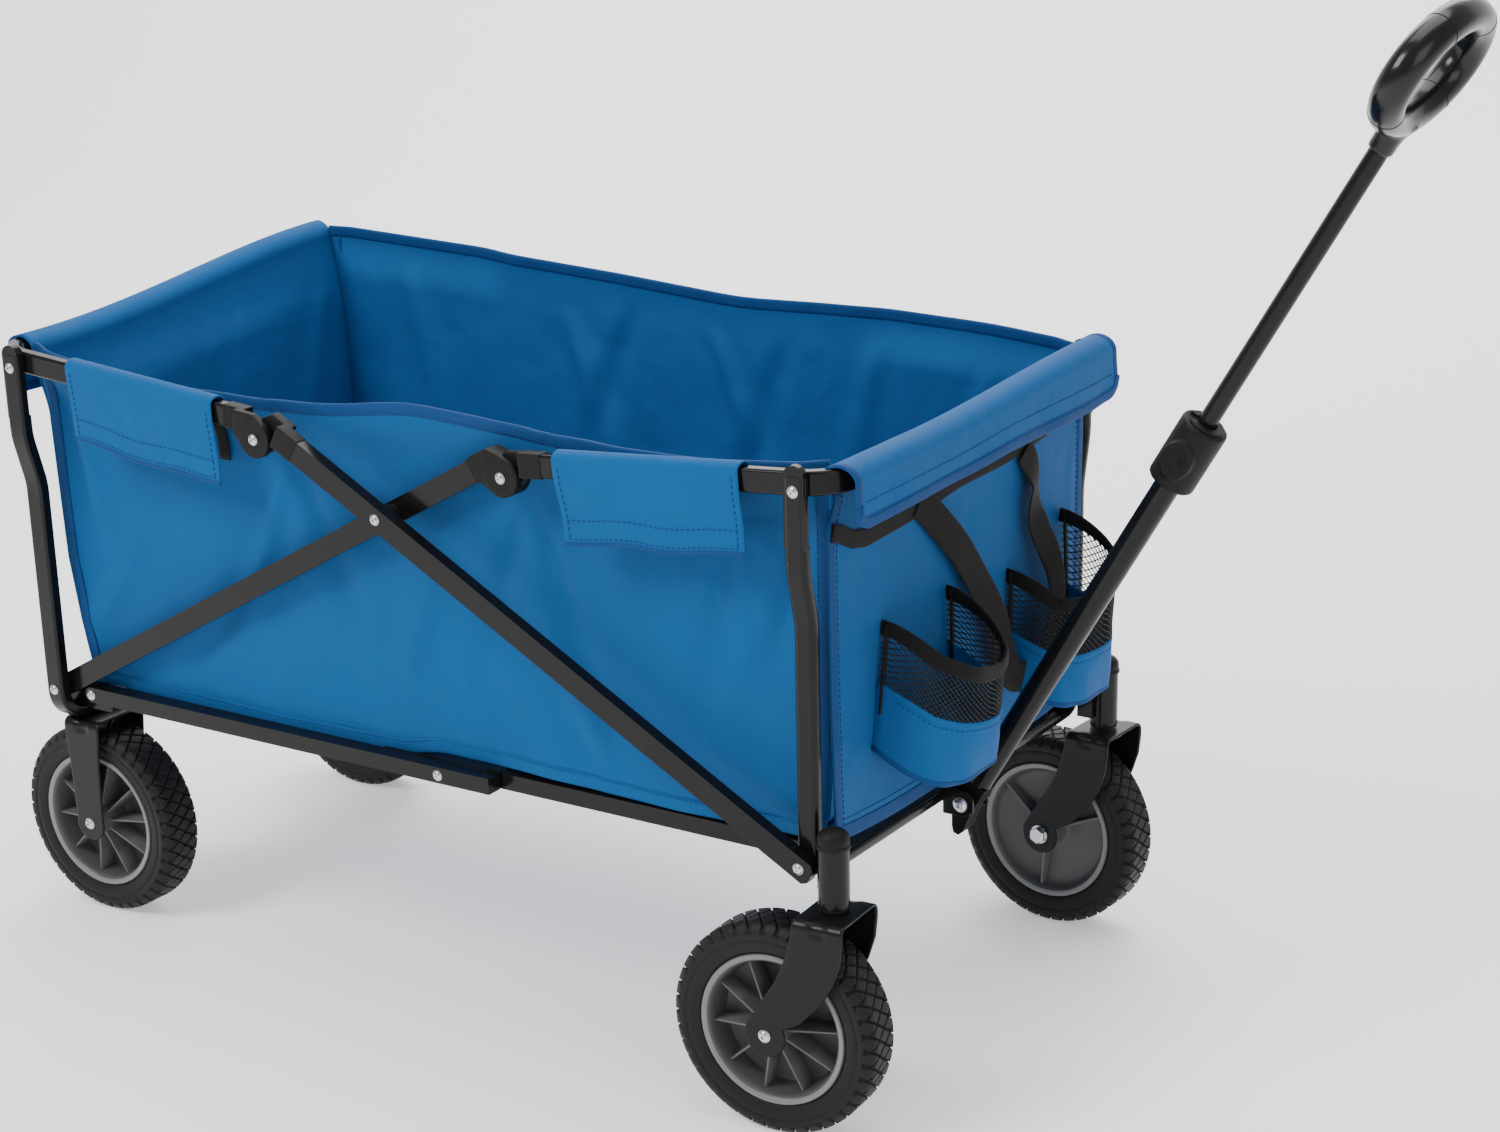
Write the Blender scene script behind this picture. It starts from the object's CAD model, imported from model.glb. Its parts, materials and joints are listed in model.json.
"""A folding four-wheeled cart: scissor frame, cloth basket, pull handle, casters in front.

The cart runs along X with its front at +X; its right side is at -Y and the ground is z = 0.
Shapes are in cart millimetres, with x measured from the scissor rivets. metres() takes them
to the frame. u and v are shares (0 to 1) along the two directions of a surface.
"""
import json
import math
import bmesh
import bpy
import numpy as np
from mathutils import Matrix, Vector


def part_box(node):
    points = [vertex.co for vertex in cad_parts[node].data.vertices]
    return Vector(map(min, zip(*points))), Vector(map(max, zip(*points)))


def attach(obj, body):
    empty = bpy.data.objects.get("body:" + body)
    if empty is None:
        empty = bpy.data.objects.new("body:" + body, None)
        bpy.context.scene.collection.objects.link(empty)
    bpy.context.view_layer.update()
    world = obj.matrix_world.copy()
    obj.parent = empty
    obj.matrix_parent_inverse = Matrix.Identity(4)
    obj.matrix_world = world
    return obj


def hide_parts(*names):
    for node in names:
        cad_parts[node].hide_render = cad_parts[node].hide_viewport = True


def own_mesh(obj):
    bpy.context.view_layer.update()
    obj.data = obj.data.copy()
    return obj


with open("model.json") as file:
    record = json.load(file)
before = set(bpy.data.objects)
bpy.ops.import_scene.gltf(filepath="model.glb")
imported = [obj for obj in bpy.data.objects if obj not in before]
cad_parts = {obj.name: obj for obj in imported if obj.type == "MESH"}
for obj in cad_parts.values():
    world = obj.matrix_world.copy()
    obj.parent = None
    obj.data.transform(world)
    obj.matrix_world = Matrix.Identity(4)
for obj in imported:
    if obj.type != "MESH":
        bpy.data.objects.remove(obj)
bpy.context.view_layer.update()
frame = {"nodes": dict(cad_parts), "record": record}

NODES = frame["nodes"]
SLOTS = {part["node"]: part["material_slot"] for part in frame["record"]["subparts"]}
SIDES = ((1, "left"), (-1, "right"))


def node_centre(node):
    """Centre of a CAD piece in the frame, mm."""
    low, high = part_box(node)
    return np.array((low + high) / 2) * 1000.0


SCISSOR_X = node_centre("scissor_rivets")[0]

# Driving dimensions
REAR_RAIL_X, FRONT_RAIL_X, RAIL_Z = -448.5, 449.0, 556.5
STEM_X, STEM_Y = 450.0, 242.2            # caster stem
REAR_WHEEL_X, REAR_FORK_Y = -409.3, 189.6
WHEEL_RADIUS = 94.3
CASTER_TOE = math.radians(3.5)
REAR_FORK_HALF, CASTER_FORK_HALF = 31.5, 32.5
KNUCKLE_X, KNUCKLE_Z = 131.7, 520.4      # pivots between arms and rails


# ------------------------------------------------------------------ materials
class Shader:
    """A node material, with short calls that build its graph."""

    def __init__(self, name):
        self.material = bpy.data.materials.new(name)
        self.material.use_nodes = True
        tree = self.material.node_tree
        self.nodes, self.links = tree.nodes, tree.links

    def feed(self, target, value):
        """Link a socket, or set a colour or a number."""
        if isinstance(value, bpy.types.NodeSocket):
            self.links.new(value, target)
        elif isinstance(value, tuple):
            target.default_value = (*value, 1.0)
        else:
            target.default_value = value

    def surface(self, values):
        for socket, value in values.items():
            self.feed(self.nodes["Principled BSDF"].inputs[socket], value)

    def node(self, kind, **values):
        node = self.nodes.new(kind)
        for key, value in values.items():
            if key in node.inputs:
                node.inputs[key].default_value = value
            else:
                setattr(node, key, value)
        return node

    def coords(self):
        return self.node("ShaderNodeTexCoord").outputs["Object"]

    def texture(self, kind, coords, **values):
        node = self.node(kind, **values)
        self.links.new(coords, node.inputs["Vector"])
        return node.outputs["Fac"]

    def noise(self, coords, scale, detail, **values):
        return self.texture("ShaderNodeTexNoise", coords, Scale=scale, Detail=detail, **values)

    def math(self, operation, *values):
        """Math node; a single operand leaves the second input at zero."""
        node = self.node("ShaderNodeMath", operation=operation)
        for i, value in enumerate(values if len(values) > 1 else (*values, 0.0)):
            self.feed(node.inputs[i], value)
        return node.outputs[0]

    def scaled(self, value, gain, offset):
        return self.math("MULTIPLY_ADD", value, gain, offset)

    def mix(self, factor, first, second):
        node = self.node("ShaderNodeMix", data_type="RGBA")
        for socket, value in ((0, factor), (6, first), (7, second)):
            self.feed(node.inputs[socket], value)
        return node.outputs[2]

    def bump(self, height, strength, distance, under=None):
        """Bump normal, laid over the normal `under` if there is one."""
        node = self.node("ShaderNodeBump", Strength=strength, Distance=distance)
        self.links.new(height, node.inputs["Height"])
        if under is not None:
            self.links.new(under, node.inputs["Normal"])
        return node.outputs["Normal"]


def tint(colour, gain, lift=0.0):
    return tuple(min(1.0, channel * gain + lift) for channel in colour)


def coated(name, base, rough, bump, grain=900.0, coat=0.0, wear=0.0, spec=0.4):
    """Painted metal or moulded plastic: fine bump, patchy roughness, lighter worn edges."""
    shader = Shader(name)
    coords = shader.coords()
    patches = shader.noise(coords, scale=14.0, detail=4.0)
    peel = shader.noise(coords, scale=grain, detail=3.0)
    share = shader.math("MULTIPLY", patches, 0.6)
    colour = shader.mix(share, base, tint(base, gain=1.55, lift=0.004))
    if wear > 0:
        edge = shader.node("ShaderNodeNewGeometry").outputs["Pointiness"]
        # threshold, gain, soft ceiling at 1, floor at 0, then the amount of wear
        for step in (("SUBTRACT", 0.515), ("MULTIPLY", 14.0), ("SMOOTH_MIN", 1.0, 0.1),
                     ("MAXIMUM", 0.0), ("MULTIPLY", wear)):
            edge = shader.math(step[0], edge, *step[1:])
        colour = shader.mix(edge, colour, tint(base, gain=3.0, lift=0.02))
    shader.surface({
        "Base Color": colour,
        "Roughness": shader.scaled(patches, gain=0.16, offset=rough - 0.08),
        "Coat Weight": coat,
        "Coat Roughness": 0.22,
        "Specular IOR Level": spec,
        "Normal": shader.bump(peel, strength=bump, distance=0.0006),
    })
    return shader.material


def metal(name, base, rough):
    shader = Shader(name)
    grain = shader.noise(shader.coords(), scale=260.0, detail=5.0)
    shader.surface({
        "Base Color": shader.mix(grain, tint(base, gain=0.72), base),
        "Metallic": 1.0,
        "Roughness": shader.scaled(grain, gain=0.25, offset=rough - 0.1),
        "Normal": shader.bump(grain, strength=0.12, distance=0.0003),
    })
    return shader.material


def rubber(name, base):
    shader = Shader(name)
    coords = shader.coords()
    patches = shader.noise(coords, scale=30.0, detail=6.0)
    grain = shader.noise(coords, scale=700.0, detail=3.0)
    shader.surface({
        "Base Color": shader.mix(patches, tint(base, gain=0.8), tint(base, gain=1.5)),
        "Roughness": shader.scaled(patches, gain=0.25, offset=0.42),
        "Specular IOR Level": 0.20,
        "Normal": shader.bump(grain, strength=0.16, distance=0.0006),
    })
    return shader.material


def crumples(shader, coords, under):
    """Soft crumples: rounded ground with thin pinched lines between."""
    broad = shader.noise(coords, scale=7.0, detail=3.0, Roughness=0.45, Distortion=0.35)
    small = shader.noise(coords, scale=17.0, detail=2.0, Roughness=0.4, Distortion=0.2)
    broad_line, small_line = [
        shader.math("ABSOLUTE", shader.math("SUBTRACT", field, 0.5)) for field in (broad, small)]
    pinch = shader.math("SQRT", shader.math("ADD", broad_line, 0.012))
    pinch = shader.math("MULTIPLY", pinch, 0.30)
    lines = shader.scaled(small_line, gain=0.22, offset=pinch)
    height = shader.scaled(broad, gain=1.5, offset=lines)
    return shader.bump(height, strength=0.50, distance=0.0090, under=under)


def cloth(name, base, rough, pitch=0.0011, sheen=0.02, depth=0.35, ribs=False):
    """Coated plain-weave cloth. The weave follows the piece's own UVs, which are in metres."""
    shader = Shader(name)
    uv = shader.node("ShaderNodeUVMap").outputs[0]
    coords = shader.coords()
    bands = 0.31416 / pitch              # wave-texture scale for one band per thread

    def wave(direction, scale, distortion, **values):
        return shader.texture("ShaderNodeTexWave", uv, bands_direction=direction,
                              Scale=scale, Distortion=distortion, **values)

    warp = wave("X", bands, 0.6, **{"Detail Scale": 2.0})
    weft = wave("Y", bands * (0.5 if ribs else 1.0), 0.6)
    twill = wave("DIAGONAL", bands * 0.5, 1.2)
    soft = shader.noise(coords, scale=5.5, detail=5.0, Roughness=0.55)
    slub = shader.noise(coords, scale=420.0, detail=2.0)
    pucker = shader.noise(coords, scale=38.0, detail=3.0)
    weave = shader.math("MULTIPLY", warp, weft)
    weave = shader.scaled(twill, gain=0.35, offset=weave)
    colour = shader.mix(soft, tint(base, gain=0.80), tint(base, gain=1.16))
    gaps = shader.math("MULTIPLY", shader.math("SUBTRACT", 1.0, weave), 0.22)
    colour = shader.mix(gaps, colour, tint(base, gain=0.45))
    slub_share = shader.math("MULTIPLY", slub, 0.14)
    shader.surface({
        "Base Color": shader.mix(slub_share, colour, tint(base, gain=1.7, lift=0.01)),
        "Roughness": shader.scaled(soft, gain=0.14, offset=rough - 0.07),
        "Sheen Weight": sheen,
        "Sheen Roughness": 0.45,
        "Specular IOR Level": 0.18,
    })
    height = shader.scaled(weave, gain=0.5, offset=shader.math("MULTIPLY", slub, 0.3))
    normal = shader.bump(height, strength=depth, distance=0.0003)
    normal = shader.bump(pucker, strength=0.30, distance=0.002, under=normal)
    if not ribs:
        normal = crumples(shader, coords, normal)
    shader.surface({"Normal": normal})
    return shader.material


MAT = {
    "frame_paint": coated("frame_paint", (0.0040, 0.0040, 0.0042), rough=0.17, bump=0.03,
                          wear=0.03, spec=0.20),
    "fork_paint": coated("fork_paint", (0.0046, 0.0046, 0.0048), rough=0.30, bump=0.14,
                         wear=0.06, spec=0.20),
    "rivet_steel": metal("rivet_steel", (0.72, 0.72, 0.73), rough=0.24),
    "black_plastic": coated("black_plastic", (0.0048, 0.0047, 0.0046), rough=0.50, bump=0.30,
                            grain=1500.0, wear=0.10, spec=0.16),
    "grip_plastic": coated("grip_plastic", (0.0030, 0.0030, 0.0032), rough=0.20, bump=0.02,
                           grain=400.0, coat=0.05, spec=0.32),
    "rim_plastic": coated("rim_plastic", (0.062, 0.061, 0.060), rough=0.44, bump=0.18,
                          grain=700.0, wear=0.30, spec=0.35),
    "tyre": rubber("tyre", (0.0075, 0.0073, 0.0072)),
    "canvas": cloth("canvas", (0.0036, 0.086, 0.265), rough=0.74, depth=0.55),
    "webbing": cloth("webbing", (0.0065, 0.0062, 0.0062), rough=0.8, pitch=0.0016, sheen=0.05,
                     depth=0.9, ribs=True),
    "floor_board": cloth("floor_board", (0.0025, 0.062, 0.19), rough=0.74),
}
CANVAS, WEBBING, PLASTIC = MAT["canvas"], MAT["webbing"], MAT["black_plastic"]
BINDING = cloth("canvas_binding", (0.0024, 0.048, 0.175), rough=0.72, pitch=0.0009, depth=0.6)
THREAD = cloth("canvas_thread", (0.0015, 0.045, 0.19), rough=0.8, pitch=0.0006, sheen=0.05)
RIM_EDGE = coated("rim_edge", (0.15, 0.15, 0.148), rough=0.34, bump=0.05)
NET = coated("net_black", (0.010, 0.010, 0.010), rough=0.6, bump=0.2, grain=2500.0)


# ------------------------------------------------------------------ meshes
def metres(points):
    """Cart millimetres to frame metres."""
    return (np.asarray(points, float) + (SCISSOR_X, 0.0, 0.0)) * 0.001


def unit(vectors):
    return vectors / (np.linalg.norm(vectors, axis=-1, keepdims=True) + 1e-12)


def assign(obj, material):
    obj.data.materials.clear()
    obj.data.materials.append(material)


def smooth_faces(mesh):
    mesh.polygons.foreach_set("use_smooth", [True] * len(mesh.polygons))


def add_mesh(name, verts, faces, material, uvs=None):
    """Smooth-shaded object from vertices in frame metres; uvs has one row per vertex."""
    mesh = bpy.data.meshes.new(name)
    mesh.from_pydata([tuple(v) for v in verts], [], [tuple(int(i) for i in f) for f in faces])
    mesh.update()
    if uvs is not None:
        layer = mesh.uv_layers.new(name="UVMap")
        corners = np.zeros(len(mesh.loops), np.int64)
        mesh.loops.foreach_get("vertex_index", corners)
        layer.data.foreach_set("uv", np.asarray(uvs, np.float32)[corners].ravel())
    smooth_faces(mesh)
    obj = bpy.data.objects.new(name, mesh)
    bpy.context.scene.collection.objects.link(obj)
    obj.data.materials.append(material)
    return obj


def closed_mesh(name, points, faces, material, uvs=None, weld=False, sharp=None):
    """Object from cart millimetres, normals outwards, edges over `sharp` degrees kept hard."""
    obj = add_mesh(name, metres(points), faces, material, uvs)
    bm = bmesh.new()
    bm.from_mesh(obj.data)
    if weld:
        bmesh.ops.remove_doubles(bm, verts=bm.verts, dist=1e-6)
    bmesh.ops.recalc_face_normals(bm, faces=bm.faces)
    if sharp is not None:
        for edge in bm.edges:
            if len(edge.link_faces) == 2 and edge.calc_face_angle(0) > math.radians(sharp):
                edge.smooth = False
    bm.to_mesh(obj.data)
    bm.free()
    return obj


def merge(parts):
    """Several (points, faces) as one."""
    points, faces = [], []
    for part_points, part_faces in parts:
        start = len(points)
        faces += [tuple(i + start for i in face) for face in part_faces]
        points += list(part_points)
    return points, faces


def solid(name, parts, material, sharp=35.0):
    points, faces = merge(parts)
    return closed_mesh(name, points, faces, material, np.zeros((len(points), 2)), True, sharp)


def place(obj, body, slot, *nodes):
    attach(obj, body)
    if nodes:
        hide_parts(*nodes)
    return obj


def moulding(name, parts, material, voxel, easing, body, slot, node):
    """Overlapping solids fused into one skin with eased edges."""
    obj = closed_mesh(name, *merge(parts), material)
    skin = obj.modifiers.new("skin", "REMESH")
    skin.mode = "VOXEL"
    skin.voxel_size = voxel
    ease = obj.modifiers.new("ease", "SMOOTH")
    ease.factor = 0.5
    ease.iterations = easing
    bpy.context.view_layer.update()
    depsgraph = bpy.context.evaluated_depsgraph_get()
    fused = bpy.data.meshes.new_from_object(obj.evaluated_get(depsgraph))
    obj.modifiers.clear()
    raw = obj.data
    obj.data = fused
    bpy.data.meshes.remove(raw)
    smooth_faces(fused)
    assign(obj, material)
    place(obj, body, slot, node)


def loft_faces(rings, sides, closed=False):
    """Skin over successive rings of points; capped unless the last ring meets the first."""
    faces = []
    for i in range(rings if closed else rings - 1):
        here, there = i * sides, (i + 1) % rings * sides
        for j in range(sides):
            k = (j + 1) % sides
            faces.append((here + j, here + k, there + k, there + j))
    if not closed:
        faces.append(tuple(reversed(range(sides))))
        faces.append(tuple(range((rings - 1) * sides, rings * sides)))
    return faces


def slab_faces(nu, nv):
    """Upper and lower faces of a grid slab, its border ring and the points in one grid."""
    count = (nu + 1) * (nv + 1)
    grid = np.arange(count).reshape(nu + 1, nv + 1)
    a, b, c, d = grid[:-1, :-1], grid[1:, :-1], grid[1:, 1:], grid[:-1, 1:]
    upper = np.stack([a, b, c, d], -1).reshape(-1, 4)
    lower = np.stack([a, d, c, b], -1).reshape(-1, 4) + count
    border = np.concatenate([grid[:, 0], grid[-1, 1:], grid[-2::-1, -1], grid[0, -2:0:-1]])
    return upper, lower, border, count


def sheet(name, surface, nu, nv, thick, material):
    """Closed cloth slab round surface(u, v), with a middle row that rounds its edge."""
    U, V = np.meshgrid(np.linspace(0, 1, nu + 1), np.linspace(0, 1, nv + 1), indexing="ij")
    points = np.asarray(surface(U, V), float)
    normal = unit(np.cross(np.gradient(points, axis=0), np.gradient(points, axis=1)))
    length_u = np.linalg.norm(np.diff(points, axis=0), axis=2).sum(0).mean()
    length_v = np.linalg.norm(np.diff(points, axis=1), axis=2).sum(1).mean()
    upper, lower, border, count = slab_faces(nu, nv)
    offset = normal * thick / 2
    flat = points.reshape(-1, 3)
    rim = flat[border]
    tangent = np.roll(rim, -1, 0) - np.roll(rim, 1, 0)
    out = unit(np.cross(tangent, normal.reshape(-1, 3)[border]))
    sign = np.sign(np.sum(out * (rim - flat.mean(0)), 1).mean())
    verts = np.concatenate([(points + offset).reshape(-1, 3), (points - offset).reshape(-1, 3),
                            rim + out * sign * thick * 0.4])
    edge = np.arange(len(border)) + 2 * count
    border_next, edge_next = np.roll(border, -1), np.roll(edge, -1)
    faces = np.concatenate([
        upper, lower,
        np.stack([border, border_next, edge_next, edge], -1),
        np.stack([edge, edge_next, border_next + count, border + count], -1)])
    uvs = np.stack([U * length_u, V * length_v], -1).reshape(-1, 2) * 0.001
    return closed_mesh(name, verts, faces, material, np.concatenate([uvs, uvs, uvs[border]]))


def strip(name, path, up, wide, thick, material, closed=False, sides=12, power=4.0):
    """Ribbon of super-elliptic section along path: thick along up, wide across it."""
    path = np.asarray(path, float)
    if closed:
        tangent = unit(np.roll(path, -1, 0) - np.roll(path, 1, 0))
    else:
        tangent = unit(np.gradient(path, axis=0))
    side = unit(np.cross(tangent, up))
    normal = np.cross(side, tangent)
    angle = np.linspace(0, 2 * math.pi, sides, endpoint=False) + math.pi / sides
    cos, sin = np.cos(angle), np.sin(angle)
    x = np.sign(cos) * np.abs(cos) ** (2 / power) * wide / 2
    y = np.sign(sin) * np.abs(sin) ** (2 / power) * thick / 2
    points = path[:, None] + side[:, None] * x[:, None] + normal[:, None] * y[:, None]
    run = np.concatenate([[0], np.cumsum(np.linalg.norm(np.diff(path, axis=0), axis=1))])
    uvs = np.stack([np.repeat(run, sides), np.tile(x, len(path))], -1) * 0.001
    faces = loft_faces(len(path), sides, closed)
    return closed_mesh(name, points.reshape(-1, 3), faces, material, uvs)


STITCH_PITCH, STITCH_LENGTH, STITCH_RADIUS = 5.0, 3.4, 0.55
STITCH_RINGS = [(-0.5, 0.25), (-0.3, 0.95), (0.3, 0.95), (0.5, 0.25)]   # shares: along, radius


def stitches(name, path, up):
    """A row of separate thread loops along path; up is one vector or one per point."""
    up = np.asarray(up, float)
    run = np.concatenate([[0], np.cumsum(np.linalg.norm(np.diff(path, axis=0), axis=1))])
    total = run[-1]
    count = max(2, int(total / STITCH_PITCH))
    places = (np.arange(count) + 0.5) * total / count

    def sample(values, at):
        return np.stack([np.interp(at, run, values[:, i]) for i in range(3)], -1)

    centre = sample(path, places)
    tangent = unit(sample(path, np.minimum(places + 1, total))
                   - sample(path, np.maximum(places - 1, 0)))
    side = unit(np.cross(tangent, up if up.ndim == 1 else sample(up, places)))
    normal = np.cross(side, tangent)
    faces = loft_faces(len(STITCH_RINGS), 6)
    parts = []
    for i in range(count):
        points = []
        for along, share in STITCH_RINGS:
            radius = STITCH_RADIUS * share
            for j in range(6):
                angle = j * math.pi / 3
                points.append(centre[i] + tangent[i] * along * STITCH_LENGTH
                              + normal[i] * radius * math.sin(angle) * 0.7
                              + side[i] * radius * math.cos(angle))
        parts.append((points, faces))
    points, faces = merge(parts)
    return closed_mesh(name, np.array(points), faces, THREAD, np.zeros((len(points), 2)))


def row(surface, v, count, u0=0.0, u1=1.0):
    """Line across a surface at v."""
    u = np.linspace(u0, u1, count)
    return surface(u, np.full_like(u, v))


def column(surface, u, count, v0, v1):
    """Line up a surface at u."""
    v = np.linspace(v0, v1, count)
    return surface(np.full_like(v, u), v)


def lathe(profile, sides, centre=(0, 0, 0), axis="y", flip=1, closed=False, phase=0.0):
    """Turned solid; profile rows are (radius, height along the axis)."""
    points = []
    for radius, height in profile:
        for angle in np.linspace(0, 2 * math.pi, sides, endpoint=False) + phase:
            a, b = radius * math.cos(angle), radius * math.sin(angle)
            offset = (a, flip * height, b) if axis == "y" else (a, b, height)
            points.append(tuple(c + o for c, o in zip(centre, offset)))
    return points, loft_faces(len(profile), sides, closed)


def turned(points, angle):
    """Points turned about the vertical through the origin."""
    c, s = math.cos(angle), math.sin(angle)
    return points @ np.array([[c, -s, 0], [s, c, 0], [0, 0, 1]]).T


def smoothstep(x):
    x = np.clip(x, 0, 1)
    return x * x * (3 - 2 * x)


def lookup(table, at):
    """Linear interpolation in a table of (key, value)."""
    keys, values = zip(*table)
    return np.interp(at, keys, values)


def crease(x, z, start, end, width, height):
    """A soft fold: a ridge with a shallow hollow on each side, fading at its ends."""
    start = np.array(start, float)
    direction = np.array(end, float) - start
    length = np.hypot(*direction)
    direction /= length
    along = (x - start[0]) * direction[0] + (z - start[1]) * direction[1]
    off = -(x - start[0]) * direction[1] + (z - start[1]) * direction[0]
    fade = smoothstep(along / (0.22 * length)) * smoothstep((length - along) / (0.45 * length))
    w = width * (0.55 + 0.75 * np.clip(along / length, 0, 1))
    hollows = sum(np.exp(-((off + shift * w) / (1.2 * w)) ** 2) for shift in (-1.7, 1.7))
    return height * fade * (np.exp(-(off / w) ** 2) - 0.35 * hollows)


def creases(table, x, z):
    """Sum of folds; rows are start, end, width, height."""
    return sum(crease(x, z, *fold) for fold in table)


def waves(x, z, seed, scale, height):
    """Smooth seeded undulation of seven plane waves."""
    random = np.random.default_rng(seed)
    total = np.zeros_like(x)
    for _ in range(7):
        angle = random.uniform(0, math.pi)
        rate = random.uniform(0.6, 1.6) * 2 * math.pi / scale
        phase = random.uniform(0, 6.28)
        total += np.sin((x * math.cos(angle) + z * math.sin(angle)) * rate + phase) / 7
    return total * height


# ------------------------------------------------------------------ basket sides
REAR_EDGE = [(245, -392), (258, -396), (270, -399), (300, -405), (361, -414), (520, -420),
             (545, -423), (560, -428), (580, -431), (610, -432)]     # z, x
FRONT_EDGE = [(240, 414), (250, 420), (270, 426), (320, 430), (500, 431), (610, 431)]  # z, x
# Per side: top line (x, z), folds (start x z, end x z, width, height), wave seeds,
# phase of the sagging foot and distance of the rim from the centre plane.
SIDE_CLOTH = {
    -1: dict(
        top=[(-430, 566), (-362, 553), (-260, 546), (-165, 542), (-73, 547), (16, 560),
             (90, 557), (172, 551), (320, 553), (448, 567)],
        folds=[((-132, 505), (-60, 330), 15, 3.6), ((-132, 500), (-215, 300), 13, -3.0),
               ((132, 500), (60, 300), 16, 3.4), ((132, 500), (190, 330), 13, 3.2),
               ((415, 545), (355, 330), 13, 3.4), ((-405, 280), (-300, 420), 18, -3.2),
               ((405, 262), (280, 330), 15, -3.4), ((330, 520), (300, 300), 14, 3.0),
               ((-20, 300), (40, 470), 20, -3.0), ((-405, 530), (-380, 330), 12, 3.2),
               ((210, 262), (120, 420), 16, -3.0), ((-290, 262), (-170, 380), 16, 2.6)],
        broad_seed=11, small_seed=71, sag_phase=0.7, rim=210.5),
    1: dict(
        top=[(-431, 600), (-227, 594), (-56, 586), (83, 577), (195, 582), (343, 579),
             (440, 571)],
        folds=[((-132, 560), (-40, 330), 18, 3.6), ((-40, 575), (-120, 350), 16, -3.2),
               ((132, 560), (60, 300), 18, -3.4), ((230, 575), (180, 330), 16, 3.2),
               ((350, 560), (300, 330), 15, 3.0), ((-330, 585), (-280, 380), 18, 2.6),
               ((40, 560), (120, 380), 14, 3.2), ((400, 560), (380, 330), 12, -3.0)],
        broad_seed=23, small_seed=73, sag_phase=2.0, rim=208.0),
}


def side_top(side, x):
    """Height of the rim, smoothed over three nearby samples."""
    table = SIDE_CLOTH[side]["top"]
    return (lookup(table, x - 22) + 2 * lookup(table, x) + lookup(table, x + 22)) / 4


def side_distance(side, x, z, top):
    """Distance of the side cloth from the cart's centre plane."""
    look = SIDE_CLOTH[side]
    # slack in the middle, with waves and folds
    bow = np.sin(np.clip((z - 256.0) / 300.0, 0, 1) * math.pi)
    w = 208.6 - 5.0 * bow * smoothstep(1 - np.abs(x) / 430.0) ** 0.6
    w = w - 1.5 - np.abs(waves(x, z, look["broad_seed"], scale=260.0, height=3.2))
    w = w - 1.45 * creases(look["folds"], x, z)
    w = w - 1.4 * np.abs(waves(x, z, look["small_seed"], scale=90.0, height=1.2))
    # rim: upright, flared towards the rails away from the knuckles
    rim_share = smoothstep((z - (top - 48.0)) / 40.0)
    flare = 8.0 * smoothstep((np.abs(x) - 185.0) / 60.0)
    w = w * (1 - rim_share) + (look["rim"] + flare) * rim_share
    # kept inside the knuckles and arms
    knuckle = smoothstep(1 - np.abs(np.abs(x) - 128.0) / 80.0)
    w = np.minimum(w, 208.9 + 12.0 * (1 - knuckle))
    w = np.minimum(w, np.where(z < 515, 209.0, 222.0))
    # gathered to the corner seams
    inside = smoothstep((x - lookup(REAR_EDGE, z)) / 26.0)
    inside = inside * smoothstep((lookup(FRONT_EDGE, z) - x) / 26.0)
    return w * inside + (208.4 + 1.2 * smoothstep((z - 505) / 30.0)) * (1 - inside)


def side_surface(side):
    def surface(u, v):
        x_guide = -415 + 846 * u
        foot = 238.0 + 7.0 * smoothstep((x_guide + 30.0) / 50.0)
        top = side_top(side, x_guide)
        z = foot + (top - foot) * v
        rear = lookup(REAR_EDGE, z)
        x = rear + (lookup(FRONT_EDGE, z) - rear) * u
        sag = 3.2 * np.sin(x / 71.0 + SIDE_CLOTH[side]["sag_phase"]) * (1 - v) ** 3
        return np.stack([x, side * side_distance(side, x, z, top), z + sag * 0.6], -1)
    return surface


SIDE_ANCHOR = (metres((-417.0, 0, 0))[0], 0.0, 0.3)


def place_side(piece, slot, *nodes):
    """Rides the rear frame and is squashed lengthwise when the cart folds."""
    place(piece, "rear_frame", slot, *nodes)
    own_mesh(piece)


def side_trim(side, label, surface):
    """Rim binding, foot hem, corner seams and their threads."""
    out = np.array((0, side, 0.0))
    rim = row(surface, 1.0, 150) + (0, 0, -2.2)
    yield strip("rim_binding_" + label, rim, out, 11.0, 4.2, BINDING)
    yield stitches("rim_thread_" + label, rim + (0, side * 2.1, -2.6), out)
    yield stitches("rim_thread_inner_" + label, rim + (0, -side * 2.1, -2.6), -out)
    hem_material = BINDING if side > 0 else CANVAS
    yield strip("foot_hem_" + label, row(surface, 0.018, 150) + out * 0.9, out, 13.0, 2.2,
                hem_material)
    yield stitches("foot_thread_" + label, row(surface, 0.033, 150) + out * 2.1, out)
    for end, u, step in (("rear", 0.0085, 0.0062), ("front", 0.9915, -0.0062)):
        seam = column(surface, u, 60, 0.02, 0.985) + out * 0.7
        yield strip(f"corner_seam_{end}_{label}", seam, out, 11.0, 2.0, BINDING)
        thread = column(surface, u + step, 60, 0.02, 0.985) + out * 1.9
        yield stitches(f"corner_thread_{end}_{label}", thread, out)


for side, label in reversed(SIDES):
    surface = side_surface(side)
    place_side(sheet("side_cloth_" + label, surface, 210, 84, 1.8, CANVAS), "canvas",
               "basket_side_" + label)
    for piece in side_trim(side, label, surface):
        place_side(piece, "canvas")

# small upright tab behind the rear knuckle on the right
tab_path = column(side_surface(-1), 0.250, 8, 0.80, 0.925) + (0, -2.6, 0)
tab_path[:, 0] = tab_path[:, 0].mean()
place_side(strip("hook_tab_right", tab_path, (0, -1, 0), 13.0, 1.4, WEBBING), "webbing")

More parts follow.
